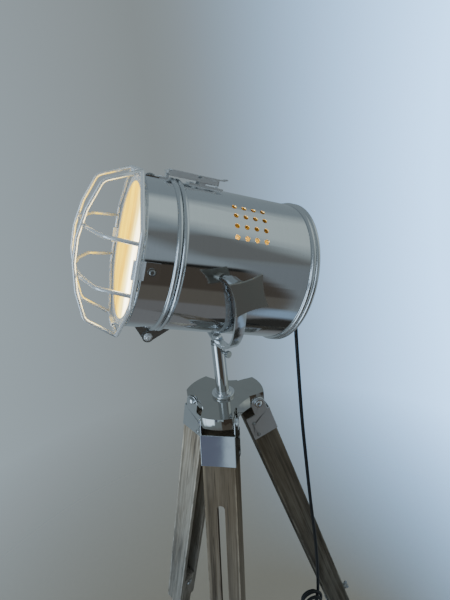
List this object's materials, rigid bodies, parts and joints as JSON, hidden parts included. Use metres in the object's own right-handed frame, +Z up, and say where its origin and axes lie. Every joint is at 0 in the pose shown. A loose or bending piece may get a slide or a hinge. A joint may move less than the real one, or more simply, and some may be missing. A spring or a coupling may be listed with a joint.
{
  "type": "tripod spotlight floor lamp",
  "caption": "Tripod spotlight floor lamp: telescopic wooden legs, swivel stem and yoke, tilting chrome barrel with a hinged, latched hood, frosted lens, wire guard and mains cord.",
  "frame": {"origin": "on the floor under the stem axis", "axes": "+Z up; -Y the way the lamp looks in plan; +X the lamp's left, which is the near side in the picture"},
  "size_m": [0.6438, 0.5576, 1.4505],
  "materials": {
    "chrome": "bright polished plating",
    "steel": "zinc or nickel plated, slightly dull",
    "leg_wood": "greyed, open-grained, matt",
    "batten_wood": "greyed, open-grained, matt",
    "foot_rubber": "matt black",
    "porcelain": "glazed white",
    "bulb_glass": "frosted, lit",
    "frosted_lens": "frosted and streaked, glowing warm",
    "black_plastic": "moulded black",
    "cord_sheath": "matt black sheath"
  },
  "bodies": {
    "tripod_head": {"head_plate": "chrome", "leg_bolts": "chrome", "stem_collar": "chrome", "stem_tube": "chrome", "stem_nut": "steel", "cord_lower": "cord_sheath", "cord_hank": "cord_sheath", "cord_tie": "black_plastic", "cord_plug": "black_plastic", "plug_pins": "steel"},
    "thumb_screw": {"thumb_screw": "chrome"},
    "front_leg": {"front_bracket": "chrome", "front_nails": "steel", "front_upper_leg": "leg_wood"},
    "front_lower": {"front_lower_leg": "batten_wood", "front_foot": "foot_rubber", "front_clamp_bolt": "steel"},
    "front_wing": {"front_wing_nut": "steel"},
    "left_leg": {"left_bracket": "chrome", "left_nails": "steel", "left_upper_leg": "leg_wood"},
    "left_lower": {"left_lower_leg": "batten_wood", "left_foot": "foot_rubber", "left_clamp_bolt": "steel"},
    "left_wing": {"left_wing_nut": "steel"},
    "rear_leg": {"rear_bracket": "chrome", "rear_nails": "steel", "rear_upper_leg": "leg_wood"},
    "rear_lower": {"rear_lower_leg": "batten_wood", "rear_foot": "foot_rubber", "rear_clamp_bolt": "steel"},
    "rear_wing": {"rear_wing_nut": "steel"},
    "yoke": {"yoke_strip": "chrome", "yoke_spigot": "steel", "yoke_nut": "chrome", "cord_upper": "cord_sheath"},
    "barrel": {"barrel_shell": "chrome", "joint_sleeve": "steel", "rear_cap": "chrome", "cap_screws": "steel", "tilt_studs": "steel", "tilt_spacers": "chrome", "lamp_holder": "porcelain", "bulb": "bulb_glass", "cord_gland": "black_plastic", "barrel_hinge_leaf": "steel", "hinge_bolt": "steel", "latch_base": "chrome"},
    "near_knob": {"near_knob": "steel"},
    "far_knob": {"far_knob": "steel"},
    "latch_lever": {"latch_lever": "chrome"},
    "latch_bail": {"latch_bail": "chrome"},
    "hood": {"hood_shell": "chrome", "hood_hinge_leaf": "steel", "lens": "frosted_lens", "lens_ring": "steel", "guard": "chrome", "guard_tabs": "chrome", "tab_screws": "steel", "latch_catch": "chrome"}
  },
  "joints": [
    {"name": "front_leg_swing", "type": "hinge", "parent": "tripod_head", "child": "front_leg", "pos_m": [0.03819, -0.02205, 1.10655], "axis": [0.5, 0.866, 0], "range_deg": [0, 15.8]},
    {"name": "front_leg_slide", "type": "slide", "parent": "front_leg", "child": "front_lower", "axis": [0.2358, -0.1361, -0.9622], "range_m": [-0.436, 0.034]},
    {"name": "front_wing_turn", "type": "hinge", "parent": "front_lower", "child": "front_wing", "pos_m": [0.17974, -0.10377, 0.57081], "axis": [0.8333, -0.4811, 0.2723], "range_deg": [0, 360]},
    {"name": "left_leg_swing", "type": "hinge", "parent": "tripod_head", "child": "left_leg", "pos_m": [-0.03819, -0.02205, 1.10655], "axis": [0.5, -0.866, 0], "range_deg": [0, 15.8]},
    {"name": "left_leg_slide", "type": "slide", "parent": "left_leg", "child": "left_lower", "axis": [-0.2358, -0.1361, -0.9622], "range_m": [-0.436, 0.034]},
    {"name": "left_wing_turn", "type": "hinge", "parent": "left_lower", "child": "left_wing", "pos_m": [-0.17974, -0.10377, 0.57081], "axis": [-0.8333, -0.4811, 0.2723], "range_deg": [0, 360]},
    {"name": "rear_leg_swing", "type": "hinge", "parent": "tripod_head", "child": "rear_leg", "pos_m": [0, 0.0441, 1.10655], "axis": [-1, 0, 0], "range_deg": [0, 15.8]},
    {"name": "rear_leg_slide", "type": "slide", "parent": "rear_leg", "child": "rear_lower", "axis": [0, 0.2723, -0.9622], "range_m": [-0.436, 0.034]},
    {"name": "rear_wing_turn", "type": "hinge", "parent": "rear_lower", "child": "rear_wing", "pos_m": [0, 0.20755, 0.57081], "axis": [0, 0.9622, 0.2723], "range_deg": [0, 360]},
    {"name": "yoke_pan", "type": "hinge", "parent": "tripod_head", "child": "yoke", "pos_m": [0, 0, 1.20085], "axis": [0, 0, 1], "range_deg": [-60, 60], "deforming": ["cord_lower"]},
    {"name": "thumb_screw_turn", "type": "hinge", "parent": "tripod_head", "child": "thumb_screw", "pos_m": [0, 0, 1.19435], "axis": [0.9135, 0.4067, 0], "range_deg": [0, 360]},
    {"name": "barrel_tilt", "type": "hinge", "parent": "yoke", "child": "barrel", "pos_m": [0, 0, 1.32405], "axis": [-1, 0, 0], "range_deg": [-31, 6], "deforming": ["cord_upper"]},
    {"name": "near_knob_turn", "type": "hinge", "parent": "barrel", "child": "near_knob", "pos_m": [0.136, 0, 1.32405], "axis": [1, 0, 0], "range_deg": [0, 360]},
    {"name": "far_knob_turn", "type": "hinge", "parent": "barrel", "child": "far_knob", "pos_m": [-0.136, 0, 1.32405], "axis": [-1, 0, 0], "range_deg": [0, 360]},
    {"name": "hood_hinge", "type": "hinge", "parent": "barrel", "child": "hood", "pos_m": [0, -0.09309, 1.24357], "axis": [1, 0, 0], "range_deg": [0, 80]},
    {"name": "latch_lever_lift", "type": "hinge", "parent": "barrel", "child": "latch_lever", "pos_m": [0, 0.00304, 1.42554], "axis": [1, 0, 0], "range_deg": [0, 90]},
    {"name": "latch_bail_swing", "type": "hinge", "parent": "latch_lever", "child": "latch_bail", "pos_m": [0, 0.01723, 1.42068], "axis": [1, 0, 0], "range_deg": [-90, 0]}
  ],
  "couplings": [
    {"joint": "latch_bail_swing", "follows": "latch_lever_lift", "ratio": -1}
  ]
}
